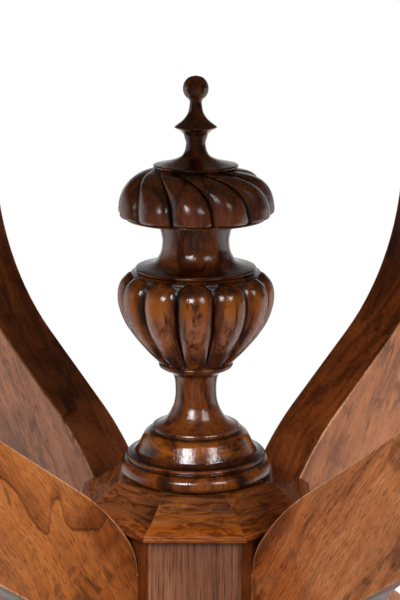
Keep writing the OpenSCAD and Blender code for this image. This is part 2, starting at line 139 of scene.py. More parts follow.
def addNode(tree, kind, settings=None, sockets=None, out=0):
    node = tree.nodes.new(kind)
    for key, value in (settings or {}).items():
        if key == "stops":  # a ramp's stops as (position, colour)
            ramp = node.color_ramp
            while len(ramp.elements) < len(value):
                ramp.elements.new(1.0)
            for element, (position, colour) in zip(ramp.elements, value):
                element.position = position
                element.color = (*colour, 1.0)
        elif key == "curve":  # a float curve's points
            line = node.mapping.curves[0]
            while len(line.points) < len(value):
                line.points.new(0.5, 0.5)
            for point, place in zip(line.points, value):
                point.location = place
            node.mapping.update()
        else:
            setattr(node, key, value)
    for key, value in (sockets or {}).items():
        socket = node.inputs[key]
        if isinstance(value, Wire):
            tree.links.new(value.socket, socket)
        else:
            socket.default_value = value
    return Wire(tree, node.outputs[out]) if node.outputs else node


def mixColour(tree, share, first, second, blend="MIX"):
    first, second = [(*c, 1.0) if isinstance(c, tuple) else c for c in (first, second)]
    settings = {"data_type": "RGBA", "blend_type": blend, "clamp_factor": True}
    return addNode(tree, "ShaderNodeMix", settings, {0: share, 6: first, 7: second}, out=2)


def vector(tree, x, y, z):
    return addNode(tree, "ShaderNodeCombineXYZ", {}, {0: x, 1: y, 2: z})


def objectPlace(tree):
    return addNode(tree, "ShaderNodeTexCoord", {}, {}, out="Object")


def objectXyz(tree):
    split = addNode(tree, "ShaderNodeSeparateXYZ", {}, {0: objectPlace(tree)})
    return split, split.other("Y"), split.other("Z")


def noise(tree, place, scale, detail=3.0, rough=0.55, bend=0.0):
    # scale is one number, or three for a pattern that is drawn out
    if isinstance(scale, tuple):
        settings = {"operation": "MULTIPLY"}
        place = addNode(tree, "ShaderNodeVectorMath", settings, {0: place, 1: scale})
        scale = 1.0
    sockets = {"Vector": place, "Scale": scale}
    sockets.update({"Detail": detail, "Roughness": rough, "Distortion": bend})
    return addNode(tree, "ShaderNodeTexNoise", {}, sockets)


def newMaterial(name):
    material = bpy.data.materials.new(name)
    material.use_nodes = True
    material.node_tree.nodes.clear()
    return material, material.node_tree


def finishMaterial(tree, colour, roughness, height, gloss):
    # one Principled shader for every surface; gloss holds its constants
    relief = {"Strength": 1.0, "Distance": gloss["relief"], "Height": height}
    bump = addNode(tree, "ShaderNodeBump", {}, relief)
    sockets = {
        "Base Color": colour,
        "Roughness": roughness,
        "Metallic": gloss.get("metal", 0.0),
        "Specular IOR Level": gloss.get("sheen", 0.5),
        "Normal": bump,
    }
    surface = addNode(tree, "ShaderNodeBsdfPrincipled", {}, sockets)
    addNode(tree, "ShaderNodeOutputMaterial", {}, {"Surface": surface})


# Camera, light and floor

view = {
    "place": (0.0110, -0.9199, 0.7006),
    "down": 12.741,  # degrees below the horizon
    "left": 0.540,
    "lens": 100.35,
    "film": 36.0,
}
studio = {
    "hub": (0.0, 0.0, 0.43),
    # each lamp's azimuth and half width in degrees, and its brightness
    "lamps": {"left": (-19.0, 8.0, 18.0), "right": (45.0, 8.5, 17.5)},
    "low": 22.0,  # elevations that the lamps fill, in degrees
    "high": 44.0,
    "reach": 1.9,  # from the hub to a lamp
    "backWhite": 0.75,  # the wall's brightness in the wood's reflections
    "wallStart": (-0.15, 0.55),  # how far back a reflection points where the wall fades in
    "wallTop": (0.42, 0.12),  # how far up it points where the wall ends
    "leftMore": 0.45,  # the wall reaches further forward on the left than on the right
    "frontDark": 0.04,  # the dim room's brightness in the reflections
    "fill": 0.30,  # light from all round on matt surfaces
    "floorPaint": (0.86, 0.86, 0.86),
    "floorShade": 0.97,
    "floorGrain": 90.0,
    "floorSize": 40.0,
    "shadowReach": (0.45, 0.72),  # distance from the middle where the floor turns white
    "nearFloor": 0.12,  # brightness of the floor before the table in the reflections
    "nearEdge": (-0.35, 0.25),  # along Y, from the dim floor to the white one
}


def makeCamera():
    camera = bpy.data.objects.new("photoCamera", bpy.data.cameras.new("photoCamera"))
    camera.data.lens = view["lens"]
    camera.data.sensor_width = view["film"]
    camera.data.clip_start = 0.05
    camera.data.clip_end = 100.0
    turn = Matrix.Rotation(math.radians(view["left"]), 4, "Z")
    tilt = Matrix.Rotation(math.radians(90.0 - view["down"]), 4, "X")
    camera.matrix_world = Matrix.Translation(view["place"]) @ turn @ tilt
    scene.collection.objects.link(camera)
    scene.camera = camera


def makeWorld():
    # polished wood mirrors a white wall low behind the table and a dim room elsewhere
    world = bpy.data.worlds.new("studio")
    world.use_nodes = True
    tree = world.node_tree
    tree.nodes.clear()
    toward = addNode(tree, "ShaderNodeTexCoord", {}, {}, out="Generated")
    split = addNode(tree, "ShaderNodeSeparateXYZ", {}, {0: toward})
    back = split.other("Y") - split * studio["leftMore"]
    wall = back.ease(*studio["wallStart"]) * split.other("Z").ease(*studio["wallTop"])
    camera = addNode(tree, "ShaderNodeLightPath", {}, {}, out="Is Camera Ray")
    glossy = camera.other("Is Glossy Ray")
    mirrored = studio["frontDark"] + wall * (studio["backWhite"] - studio["frontDark"])
    light = glossy * mirrored + (1 - glossy) * studio["fill"]
    strength = camera + (1 - camera) * light
    paint = addNode(tree, "ShaderNodeBackground", {}, {"Color": (1, 1, 1, 1), "Strength": strength})
    addNode(tree, "ShaderNodeOutputWorld", {}, {"Surface": paint})
    scene.world = world


def makeFloor():
    mesh = bpy.data.meshes.new("floor")
    half = studio["floorSize"] / 2
    corners = [(-half, -half, 0), (half, -half, 0), (half, half, 0), (-half, half, 0)]
    mesh.from_pydata(corners, [], [(0, 1, 2, 3)])
    floor = bpy.data.objects.new("floor", mesh)
    scene.collection.objects.link(floor)
    floor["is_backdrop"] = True
    material, tree = newMaterial("studioFloor")
    x, y, z = objectXyz(tree)
    distance = (x * x + y * y) ** 0.5
    camera = addNode(tree, "ShaderNodeLightPath", {}, {}, out="Is Camera Ray")
    glossy = camera.other("Is Glossy Ray")
    glow = (camera * distance.ease(*studio["shadowReach"])).atLeast(glossy)
    far = y.ease(*studio["nearEdge"])
    mirrored = studio["nearFloor"] + far * (1 - studio["nearFloor"])
    grit = noise(tree, objectPlace(tree), studio["floorGrain"])
    shade = tuple(studio["floorShade"] * c for c in studio["floorPaint"])
    paint = mixColour(tree, grit, shade, studio["floorPaint"])
    matt = addNode(tree, "ShaderNodeBsdfDiffuse", {}, {"Color": paint})
    strength = camera + (1 - camera) * mirrored
    white = addNode(tree, "ShaderNodeEmission", {}, {"Color": (1, 1, 1, 1), "Strength": strength})
    surface = addNode(tree, "ShaderNodeMixShader", {}, {0: glow, 1: matt, 2: white})
    addNode(tree, "ShaderNodeOutputMaterial", {}, {"Surface": surface})
    mesh.materials.append(material)


def makeLamps():
    hub = Vector(studio["hub"])
    middle = math.radians((studio["low"] + studio["high"]) / 2)
    tall = 2 * studio["reach"] * math.tan(math.radians(studio["high"] - studio["low"]) / 2)
    for name, (azimuth, halfWidth, brightness) in studio["lamps"].items():
        wide = 2 * studio["reach"] * math.tan(math.radians(halfWidth))
        turn = math.radians(azimuth)
        side, front = math.sin(turn) * math.cos(middle), math.cos(turn) * math.cos(middle)
        away = Vector((side, -front, math.sin(middle)))
        lamp = bpy.data.lights.new("softbox_" + name, "AREA")
        lamp.shape = "ELLIPSE"
        lamp.size = wide
        lamp.size_y = tall
        lamp.energy = brightness * math.pi * wide * tall
        holder = bpy.data.objects.new("softbox_" + name, lamp)
        holder.location = hub + away * studio["reach"]
        holder.rotation_euler = away.to_track_quat("Z", "Y").to_euler()
        holder.visible_camera = False
        scene.collection.objects.link(holder)


makeCamera()
makeWorld()
makeFloor()
makeLamps()
scene.view_settings.view_transform = "Standard"
print("studio ready")


# Woods

patterns = {  # detail, roughness and bend of each pattern in a wood
    "streaks": (4.0, 0.6, 0.6),
    "lines": (3.0, 0.65, 0.2),
    "smoke": (2.0, 0.5, 0.8),
    "curl": (2.0, 0.5, 0.5),
    "pores": (1.0, 0.5, 0.0),
    "veins": (3.0, 0.5, 0.4),
    "ripple": (2.0, 0.55, 0.0),
}
figuring = {  # how the patterns make the tone, the roughness and the relief
    "parts": {"streaks": 0.45, "lines": 0.35, "curl": 0.20},
    "spread": 2.4,
    "middle": 0.42,  # the tone that has the middle colour
    "smokeFade": (0.46, 0.68),
    "glowTo": 0.38,
    "veinFade": (0.030, 0.006),
    "veinCurl": (0.40, 0.60),
    "poreFade": (0.56, 0.65),
    "roughLines": 0.10,
    "roughPores": 0.12,
    "roughGrooves": 0.2,
    "poreDepth": 0.35,
}
mitreShift = {"along": 0.7, "across": 0.28}  # of the grain from one mitred piece to the next


def polishedWood(name, look, makeGrain, makeMasks=None):
    # makeGrain gives the place as along, across and into the grain; makeMasks gives masks by name
    material, tree = newMaterial(name)
    grain = makeGrain(tree)

    def pattern(key):
        return noise(tree, grain, look[key], *patterns[key])

    lines, smoke, curl = pattern("lines"), pattern("smoke"), pattern("curl")
    parts = figuring["parts"]
    tone = pattern("streaks") * parts["streaks"] + lines * parts["lines"] + curl * parts["curl"]
    tone = (tone - 0.5) * (figuring["spread"] * look["contrast"]) + 0.5
    stops = [(0.0, look["dark"]), (figuring["middle"], look["mid"]), (1.0, look["light"])]
    colour = addNode(tree, "ShaderNodeValToRGB", {"stops": stops}, {0: tone})
    dim = smoke.ease(*figuring["smokeFade"]) * look["smokeShare"]
    colour = mixColour(tree, dim, colour, look["smokeColour"])
    glow = smoke.ease(look["glowFrom"], figuring["glowTo"]) * look["glowShare"]
    colour = mixColour(tree, glow, colour, look["glowColour"])
    if look["veinShare"]:  # thin dark lines of figure, where a slow pattern passes its middle
        vein = abs(pattern("veins") - 0.5).ease(*figuring["veinFade"])
        vein = vein * curl.ease(*figuring["veinCurl"]) * look["veinShare"]
        colour = mixColour(tree, vein, colour, look["poreColour"])
    pores = pattern("pores").ease(*figuring["poreFade"]) * look["poreShare"]
    colour = mixColour(tree, pores, colour, look["poreColour"])
    rough = look["rough"] + (lines - 0.5) * figuring["roughLines"] + pores * figuring["roughPores"]
    for key, mask in (makeMasks(tree) if makeMasks else {}).items():
        share, paint, blend = look[key]
        colour = mixColour(tree, mask * share, colour, paint, blend)
        if key == "groove":
            rough = rough + mask * figuring["roughGrooves"]
    height = lines * look["grit"] + (1 - pores) * figuring["poreDepth"] + pattern("ripple")
    finishMaterial(tree, colour, rough, height, look["gloss"])
    return material


def octagonGrain(order):
    # the grain of eight mitred pieces round the table: "outward", "sideways" or "upward"
    def grain(tree):
        x, y, z = objectXyz(tree)
        side = round(x.maths("ARCTAN2", y, x) / eighth)
        turn = side * eighth
        outward = x * turn.cosine() + y * turn.sine()
        sideways = y * turn.cosine() - x * turn.sine()
        runs = {
            "outward": (outward, sideways, z),
            "sideways": (sideways, z, outward),
            "upward": (z, sideways, outward),
        }
        along, across, deep = runs[order]
        along = along + side * mitreShift["along"]
        return vector(tree, along, across + side * mitreShift["across"], deep)

    return grain


def bookGrain(tree):
    # radial veneers, each one the mirror image of its neighbour
    x, y, z = objectXyz(tree)
    turn = round(x.maths("ARCTAN2", y, x) / eighth) * eighth
    outward = x * turn.cosine() + y * turn.sine()
    sideways = abs(y * turn.cosine() - x * turn.sine())
    return vector(tree, outward, sideways, z)


walnut = {
    "dark": (0.060, 0.014, 0.003),
    "mid": (0.215, 0.060, 0.013),
    "light": (0.390, 0.130, 0.030),
    "streaks": (5.0, 70.0, 70.0),
    "lines": (25.0, 900.0, 900.0),
    "smoke": (7.0, 22.0, 22.0),
    "curl": (60.0, 12.0, 12.0),
    "pores": (75.0, 1900.0, 1900.0),
    "veins": (9.0, 30.0, 30.0),
    "ripple": (60.0, 150.0, 150.0),
    "contrast": 1.0,
    "smokeShare": 0.45,
    "smokeColour": (0.050, 0.015, 0.006),
    "glowShare": 0.35,
    "glowFrom": 0.53,
    "glowColour": (0.42, 0.125, 0.018),
    "veinShare": 0.0,
    "poreShare": 0.7,
    "poreColour": (0.030, 0.009, 0.003),
    "grit": 0.25,
    "rough": 0.30,
    "gloss": {"relief": 0.00012, "sheen": 0.45},
}


# Pieces that follow their CAD solids

def dress(name, materials, slot, bevel, limit=32.0, mitred=False):
    # a copy of a CAD node with merged faces and softened edges; the last material is on those edges
    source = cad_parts[name]
    mesh = source.data.copy()
    for data in (source.data, mesh):
        data.materials.clear()
        for material in materials:
            data.materials.append(material)
    model = bmesh.new()
    model.from_mesh(mesh)
    strips = {}  # a node of eight mitred strips is merged strip by strip
    for face in model.faces:
        inside = face.calc_center_median() - face.normal * 0.001
        side = round(math.atan2(inside.y, inside.x) / eighth) % 8 if mitred else 0
        strips.setdefault(side, set()).update(face.verts)
    for corners in strips.values():
        bmesh.ops.remove_doubles(model, verts=list(corners), dist=1e-6)
    flat = math.radians(0.5)
    bmesh.ops.dissolve_limit(model, angle_limit=flat, verts=model.verts, edges=model.edges)
    for face in model.faces:
        face.material_index = 0
    model.to_mesh(mesh)
    model.free()
    piece = bpy.data.objects.new(name + "_wood", mesh)
    scene.collection.objects.link(piece)
    soften(piece, bevel, 3, limit, len(materials) - 1)
    finishPiece(piece, name, slot, limit, True)


def soften(piece, width, segments, limit, materialIndex):
    edges = piece.modifiers.new("softEdges", "BEVEL")
    edges.width = width
    edges.segments = segments
    edges.limit_method = "ANGLE"
    edges.angle_limit = math.radians(limit)
    edges.material = materialIndex
    applyModifiers(piece)


def applyModifiers(piece):
    graph = bpy.context.evaluated_depsgraph_get()
    mesh = bpy.data.meshes.new_from_object(piece.evaluated_get(graph))
    old = piece.data
    piece.modifiers.clear()
    piece.data = mesh
    bpy.data.meshes.remove(old)


def finishPiece(piece, node, slot, limit, flats=False):
    piece.data.shade_smooth()
    piece.data.set_sharp_from_angle(angle=math.radians(limit))
    if flats:  # large faces are shaded flat beside their narrow soft edges
        even = piece.modifiers.new("evenNormals", "WEIGHTED_NORMAL")
        even.keep_sharp = True
        applyModifiers(piece)
    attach(piece, "root")
    if node:
        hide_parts(node)


def paintNode(name, material):
    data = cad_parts[name].data
    data.materials.clear()
    data.materials.append(material)


# The legs

legSizes = {
    "grainAngle": 59.0,  # degrees from the horizontal, rising outwards
    "wave": 0.010,
    "waveScale": 13.0,
    "thick": 0.036,
    "rim": (0.0008, 0.0016),  # inwards from the plank's sides, where its narrow faces begin
    "patches": (18.0, 18.0, 75.0),
    "mottleFade": (0.40, 0.62),
    "amberShoulderShadeFade": (0.36, 0.56),
    "arris": 0.0009,
}
legWalnut = {
    **walnut,
    "smoke": (5.0, 34.0, 34.0),
    "smokeShare": 0.45,
    "lines": (55.0, 1400.0, 1400.0),
    "pores": (140.0, 2500.0, 2500.0),
    "poreShare": 0.65,
    "contrast": 1.35,
    "inner": (1.0, (0.42, 0.28, 0.12), "MULTIPLY"),
    "mottle": (0.80, (0.42, 0.32, 0.24), "MULTIPLY"),
    # painted shade on the legs near the post, with a deeper amber tone
    "shoulder": (0.85, (0.44, 0.27, 0.08), "MULTIPLY"),
    "veinShare": 0.6,
    "reach": (0.060, 0.125),  # distance from the middle over which the painted shade near the post, with its deeper amber, fades
}
# the softened edges are painted lighter: partly rubbed wear, partly a painted highlight along the
# arrises
wornArrisHighlight = {"mid": (0.47, 0.19, 0.08), "light": (0.68, 0.35, 0.18), "smokeShare": 0.0}
legFigure = {  # the wavy line on the left-hand leg, from near the cap outwards
    "from": 0.070,
    "long": 0.100,
    "high": 0.120,
    "line": [
        (0, 0.60), (0.05, 0.56), (0.135, 0.536), (0.19, 0.487), (0.26, 0.493), (0.387, 0.529),
        (0.433, 0.577), (0.484, 0.69), (0.518, 0.66), (0.55, 0.542), (0.59, 0.565), (0.646, 0.622),
        (0.75, 0.77), (0.85, 0.865), (1, 1),
    ],
    "thin": (0.0015, 0.0003),
    "waver": 0.0045,
    "waverScale": 200.0,
    "echoes": [(0.0032, 0.40), (0.0070, 0.50), (0.0125, 0.30)],  # fainter lines above it
    "echoThin": (0.0012, 0.0003),
    "shade": 0.65,  # of the wood over the line
    "shadeFade": (-0.0025, 0.001, 0.0, 0.0150),
    "end": (1.05, 0.85),
}
# each leg has its own copy of the walnut, made lighter or darker as painted light and shade; the
# back-left leg is painted lightest
legWoods = {
    "leg_front_left": {
        **legWalnut,
        "dark": (0.090, 0.022, 0.005),
        "mid": (0.305, 0.086, 0.018),
        "light": (0.560, 0.197, 0.048),
        "glowShare": 0.4,
        "reach": (0.060, 0.135),
        "shoulder": (0.95, (0.34, 0.17, 0.02), "MULTIPLY"),
        "figure": (0.90, (0.32, 0.20, 0.14), "MULTIPLY"),
        "turn": 225.0,
        "shift": 1.3,
    },
    "leg_front_right": {
        **legWalnut,
        "mid": (0.360, 0.115, 0.037),
        "light": (0.61, 0.240, 0.086),
        "shoulder": (0.85, (0.72, 0.40, 0.04), "MULTIPLY"),
        "glowShare": 0.15,
        "turn": 315.0,
        "shift": 4.1,
    },
    "leg_back_left": {
        **legWalnut,
        "mid": (0.590, 0.215, 0.091),
        "light": (0.75, 0.330, 0.158),
        "glowShare": 0.1,
        "turn": 135.0,
        "shift": 7.7,
    },
    "leg_back_right": {
        **legWalnut,
        "mid": (0.385, 0.130, 0.047),
        "light": (0.60, 0.235, 0.092),
        "inner": (1.0, (0.50, 0.32, 0.12), "MULTIPLY"),
        "glowShare": 0.1,
        "turn": 45.0,
        "shift": 11.9,
    },
}


def legPlace(tree, degrees):
    # distance from the middle and from the leg's own plane, and height from the waist
    x, y, z = objectXyz(tree)
    c, s = math.cos(math.radians(degrees)), math.sin(math.radians(degrees))
    return x * c + y * s, y * c - x * s, abs(z - waistZ)


def wavyFigure(tree, place, out, high):
    # one wavy dark line with fainter ones and a shade above it
    share = (out - legFigure["from"]) / legFigure["long"]
    line = addNode(tree, "ShaderNodeFloatCurve", {"curve": legFigure["line"]}, {1: share})
    waver = noise(tree, place, legFigure["waverScale"], 3.0) - 0.5
    above = high - line * legFigure["high"] + waver * legFigure["waver"]
    dark = abs(above).ease(*legFigure["thin"])
    for step, strength in legFigure["echoes"]:
        dark = dark.atLeast(abs(above - step).ease(*legFigure["echoThin"]) * strength)
    shade = above.between(*legFigure["shadeFade"]) * legFigure["shade"]
    return dark.atLeast(shade) * share.ease(*legFigure["end"])


def makeLegs():
    rise = math.radians(legSizes["grainAngle"])
    edge = legSizes["thick"] / 2
    for name, look in legWoods.items():

        def grain(tree):
            out, aside, high = legPlace(tree, look["turn"])
            along = out * math.cos(rise) + high * math.sin(rise) + look["shift"]
            across = high * math.cos(rise) - out * math.sin(rise) + look["shift"] * 0.3
            wave = noise(tree, vector(tree, out, high, aside), legSizes["waveScale"], 2.0) - 0.5
            return vector(tree, along, across + wave * legSizes["wave"], aside)

        def masks(tree):
            out, aside, high = legPlace(tree, look["turn"])
            place = vector(tree, out, high, aside)
            inner = abs(aside).ease(*(edge - rim for rim in legSizes["rim"]))
            patch = noise(tree, place, legSizes["patches"], 3.0, 0.6, 1.6)
            near = out.ease(look["reach"][1], look["reach"][0])
            # the painted shade by the post is broken up by patches
            patchyShade = patch.ease(*legSizes["amberShoulderShadeFade"]) * 0.5 + 0.5
            made = {
                "inner": inner,
                "mottle": inner * patch.ease(*legSizes["mottleFade"]),
                "shoulder": near * patchyShade * (1 - inner),
            }
            if "figure" in look:
                made["figure"] = wavyFigure(tree, place, out, high) * (1 - inner)
            return made

        wood = polishedWood(name + "_walnut", look, grain, masks)
        worn = polishedWood(name + "_arris", {**look, **wornArrisHighlight}, grain)
        dress(name, [wood, worn], "leg_wood", legSizes["arris"])


makeLegs()
print("legs made")

# The post, its cap and the plate under it

capWood = {
    **walnut,
    "dark": (0.022, 0.006, 0.002),
    "mid": (0.128, 0.034, 0.0085),
    "light": (0.330, 0.100, 0.022),
    "streaks": (10.0, 55.0, 55.0),
    "smokeShare": 0.65,
    "glowShare": 0.35,
    "contrast": 1.1,
    "rough": 0.24,
    # amber on the swelling: partly the wood's tone, partly painted light caught there
    "swelling": (0.80, (0.270, 0.062, 0.002), "MIX"),
    "mottle": (0.90, (0.32, 0.21, 0.14), "MULTIPLY"),
    # painted shade on the right-hand side and painted light on the left-hand side
    "right": (0.90, (0.42, 0.28, 0.16), "MULTIPLY"),
    "left": (0.45, (0.420, 0.125, 0.036), "MIX"),
}
postWood = {
    **walnut,
    "dark": (0.080, 0.026, 0.011),
    "mid": (0.190, 0.068, 0.031),
    "light": (0.280, 0.108, 0.052),
    "glowShare": 0.0,
    "smokeShare": 0.35,
    "contrast": 1.7,
    "poreShare": 0.7,
    "pores": (60.0, 1900.0, 1900.0),
    "streaks": (4.0, 300.0, 300.0),
    # painted shade on the diagonal facings, where the legs beside them block the light
    "diagonal": (1.0, (0.62, 0.36, 0.12), "MULTIPLY"),
}
# the cap's softened edges are painted lighter: partly wear, partly a painted highlight along the
# edges
capRimHighlight = {**capWood, "mid": (0.45, 0.17, 0.05)}
capFades = {  # where the cap's masks begin and end
    "swelling": (capTop - 0.0105, capTop - 0.0125),
    # where the painted light on the left and the painted shade on the right fade in
    "left": (-0.018, -0.045),
    "right": (0.018, 0.045),
    "mottle": (0.44, 0.62),
}
postArrises = {"facing": 0.0004, "cap": 0.0004, "plate": 0.0008}
mouldingLimit = 24.0  # degrees; edges of mouldings sharper than this are softened


def postShadeMasks(tree):
    x, y, z = objectXyz(tree)
    side = round(x.maths("ARCTAN2", y, x) / eighth)
    # the diagonal facings are darkened as painted shade
    return {"diagonal": abs((side * (2 * eighth)).sine())}


def capMasks(tree):
    # an amber band over the half-round edge, partly its tone and partly painted light caught on the
    # swelling; painted light on the left-hand side and painted shade on the right-hand side
    x, y, z = objectXyz(tree)
    patch = noise(tree, octagonGrain("sideways")(tree), (55.0, 240.0, 170.0), 5.0, 0.7, 1.2)
    drivers = {"swelling": z, "left": x, "right": x, "mottle": patch}
    return {key: value.ease(*capFades[key]) for key, value in drivers.items()}


def makePost():
    facing = polishedWood("postFacingWalnut", postWood, octagonGrain("upward"), postShadeMasks)
    cap = polishedWood("capWalnut", capWood, octagonGrain("sideways"), capMasks)
    worn = polishedWood("capArris", capRimHighlight, octagonGrain("sideways"))
    for i in range(1, 9):
        dress(f"post_facing_{i}", [facing], "post_facing_wood", postArrises["facing"])
        dress(f"cap_moulding_{i}", [cap, worn], "cap_wood", postArrises["cap"], mouldingLimit)
    dress("base_plate", [cap, worn], "base_wood", postArrises["plate"])


makePost()
print("post and cap made")

# The top, its frieze and its bearers

topVeneer = {**walnut, "smokeShare": 0.6, "veinShare": 0.7, "veins": (6.0, 20.0, 20.0)}
crossbanding = {
    **walnut,
    "mid": (0.135, 0.037, 0.010),
    "light": (0.290, 0.090, 0.024),
    "contrast": 1.6,
}
friezeWood = {**walnut, "mid": (0.18, 0.050, 0.013)}
rosewoodEdge = {
    **walnut,
    "dark": (0.015, 0.005, 0.002),
    "mid": (0.075, 0.021, 0.007),
    "light": (0.200, 0.060, 0.017),
    "glowShare": 0.2,
}
pine = {
    **walnut,
    "dark": (0.15, 0.075, 0.032),
    "mid": (0.25, 0.14, 0.065),
    "light": (0.34, 0.20, 0.10),
    "smokeColour": (0.13, 0.07, 0.035),
    "glowColour": (0.30, 0.17, 0.07),
    "poreColour": (0.10, 0.05, 0.025),
    "poreShare": 0.3,
    "rough": 0.62,
    "gloss": {"relief": 0.0002},
}
topArrises = {"veneer": 0.00015, "moulding": 0.0003, "frieze": 0.0006}
pineNodes = [
    "top_core", "frieze_glue_blocks", "bearer_lower", "bearer_upper", "post_core", "cap_core",
]


def makeTop():
    veneer = polishedWood("topVeneer", topVeneer, bookGrain)
    border = polishedWood("topCrossbanding", crossbanding, octagonGrain("outward"))
    edge = polishedWood("edgeRosewood", rosewoodEdge, octagonGrain("sideways"))
    board = polishedWood("friezeWalnut", friezeWood, octagonGrain("sideways"))
    soft = polishedWood("pine", pine, objectPlace)
    for i in range(1, 9):
        dress(f"top_veneer_{i}", [veneer], "top_veneer", topArrises["veneer"])
        dress(f"top_moulding_{i}", [edge], "top_moulding", topArrises["moulding"], mouldingLimit)
        dress(f"frieze_board_{i}", [board], "frieze_wood", topArrises["frieze"])
    dress("top_crossbanding", [border], "top_crossbanding", topArrises["veneer"], mitred=True)
    for name in pineNodes:
        paintNode(name, soft)


makeTop()
print("top made")

# The finial

finialWood = {
    **walnut,
    "dark": (0.008, 0.0026, 0.0013),
    "mid": (0.080, 0.0155, 0.0034),
    "light": (0.240, 0.058, 0.009),
    "streaks": (20.0, 110.0, 110.0),
    "lines": (80.0, 620.0, 620.0),
    "smoke": (22.0, 62.0, 62.0),
    "curl": (90.0, 60.0, 60.0),
    "pores": (110.0, 1000.0, 1000.0),
    "ripple": (110.0, 130.0, 130.0),
    "contrast": 1.15,
    "smokeShare": 0.85,
    "smokeColour": (0.016, 0.004, 0.0015),
    "glowShare": 0.70,
    "glowFrom": 0.55,
    "glowColour": (0.220, 0.056, 0.006),
    "poreShare": 0.5,
    "poreColour": (0.006, 0.002, 0.001),
    "grit": 1.3,
    "rough": 0.165,
    "gloss": {"relief": 0.00010, "sheen": 0.75},
    # painted shade and dark reflection on the collar and under the bell, partly settled dark polish
    "hollow": (0.8, (0.32, 0.24, 0.20), "MULTIPLY"),
    # amber on the bell: partly the wood's tone, partly a painted warm reflection of the cap and
    # legs
    "bell": (0.75, (0.380, 0.098, 0.003), "MIX"),
    # painted shade lines in the turned corners, partly dark polish
    "corner": (0.85, (0.10, 0.08, 0.07), "MULTIPLY"),
}
finialBands = {  # heights between which each mask fades in and out again
    "collar": [neckZ + high for high in (-0.001, 0.0, 0.0035, 0.0075)],
    "hollow": [capTop + high for high in (0.0128, 0.0136, 0.0155, 0.0200)],
    "bell": [capTop + high for high in (0.0140, 0.0175, 0.0260, 0.0290)],
}
bellAmberSheenFade = (0.38, 0.70)
finialCornerShades = [  # heights and half widths of the painted shade lines in the corners, partly dark polish
    (capTop + 0.0101, 0.0007),
    (capTop + 0.0134, 0.0007),
    (capTop + 0.0267, 0.0009),
    (bowlZ + 0.0002, 0.0009),
    (neckZ + 0.0028, 0.0007),
]
# the finial's softened rims are painted lighter: partly wear, partly a painted highlight along the
# rims
wornRimHighlight = {
    **finialWood,
    "mid": (0.20, 0.075, 0.035),
    "light": (0.34, 0.15, 0.08),
    "glowShare": 0.0,
    "smokeShare": 0.2,
}
# a lathe piece's facets, points per step of its outline, and its edges in metres and degrees
turning = {"sides": 192, "steps": 6, "arris": 0.0003, "limit": 28.0, "sharp": 40.0}

# Outlines of the turned pieces as (radius, height) in millimetres; each run is one smooth curve
footOutline = [
    [(0, 0), (38.2, 0)],
    [
        (38.2, 0), (38.9, 0.5), (41.9, 1.6), (43.4, 3.4), (43.6, 5.2), (42.9, 7.4), (41.4, 9.0),
        (39.2, 9.9),
    ],
    [(39.2, 9.9), (38.6, 10.5), (38.9, 11.0)],
    [(38.9, 11.0), (39.7, 11.6), (39.8, 12.3), (39.2, 13.0)],
    [
        (39.2, 13.0), (36.2, 13.8), (34.1, 15.3), (33.0, 17.4), (31.9, 19.7), (30.8, 22.0),
        (29.3, 24.5), (26.4, 26.8),
    ],
    [(26.4, 26.8), (24.7, 27.2)],
    [(24.7, 27.2), (25.0, 28.1), (24.6, 29.0)],
    [
        (24.6, 29.0), (21.7, 29.7), (18.3, 31.8), (15.8, 34.8), (14.1, 38.0), (12.5, 42.0),
        (11.8, 46.6), (11.7, 50.8), (12.1, 55.6), (13.3, 59.2), (14.6, 60.6),
    ],
    [(14.6, 60.6), (0, 60.6)],
]
beadOutline = [
    [(0, 0), (14.8, 0)],
    [
        (14.8, 0), (15.6, 0.6), (17.4, 1.4), (19.6, 2.4), (20.9, 3.5), (21.2, 4.6), (20.8, 5.4),
        (19.4, 6.0),
    ],
    [(19.4, 6.0), (0, 6.0)],
]
neckOutline = [
    [(0, 0), (32.6, 0)],
    [(32.6, 0), (33.5, 0.3), (34.0, 0.9), (34.0, 1.6), (33.4, 2.3)],
    [
        (33.4, 2.3), (31.0, 2.8), (27.3, 3.5), (23.8, 4.7), (21.6, 6.9), (20.2, 9.4),
        (19.2, 12.4), (18.8, 16.0), (18.9, 18.5), (19.5, 21.5), (20.6, 25.0), (22.0, 28.0),
        (22.9, 29.3),
    ],
    [(22.9, 29.3), (0, 29.3)],
]
spireOutline = [
    [(0, 0), (22.9, 0)],
    [(22.9, 0), (23.6, 0.6), (23.6, 1.5), (23.0, 1.9)],
    [
        (23.0, 1.9), (20.0, 2.4), (17.0, 3.1), (12.3, 4.4), (8.5, 6.1), (6.8, 8.0), (5.9, 10.3),
        (5.4, 13.6), (5.8, 15.3), (6.3, 17.0), (7.0, 18.9), (8.8, 20.6), (11.1, 21.9),
    ],
    [(11.1, 21.9), (11.8, 22.4), (11.5, 23.0)],
    [
        (11.5, 23.0), (8.5, 25.2), (6.8, 26.7), (5.4, 28.5), (4.5, 30.0), (3.9, 31.8),
        (3.4, 35.1), (3.4, 36.8), (4.1, 37.9),
    ],
    [
        (4.1, 37.9), (5.8, 39.5), (6.9, 41.7), (7.15, 43.6), (6.9, 45.6), (5.8, 47.9),
        (3.6, 49.9), (0, 50.8),
    ],
]


def smoothRun(points, steps):
    # a curve through the points of one run of an outline
    if len(points) < 3:
        return [Vector(p) for p in points]
    line = [Vector(p) for p in points]
    line = [2 * line[0] - line[1]] + line + [2 * line[-1] - line[-2]]
    made = []
    for a, b, c, d in zip(line, line[1:], line[2:], line[3:]):
        for step in range(steps):
            t = step / steps
            bend = (2 * a - 5 * b + 4 * c - d) * t**2 + (3 * b - a - 3 * c + d) * t**3
            made.append(0.5 * (2 * b + (c - a) * t + bend))
    return made + [line[-2]]


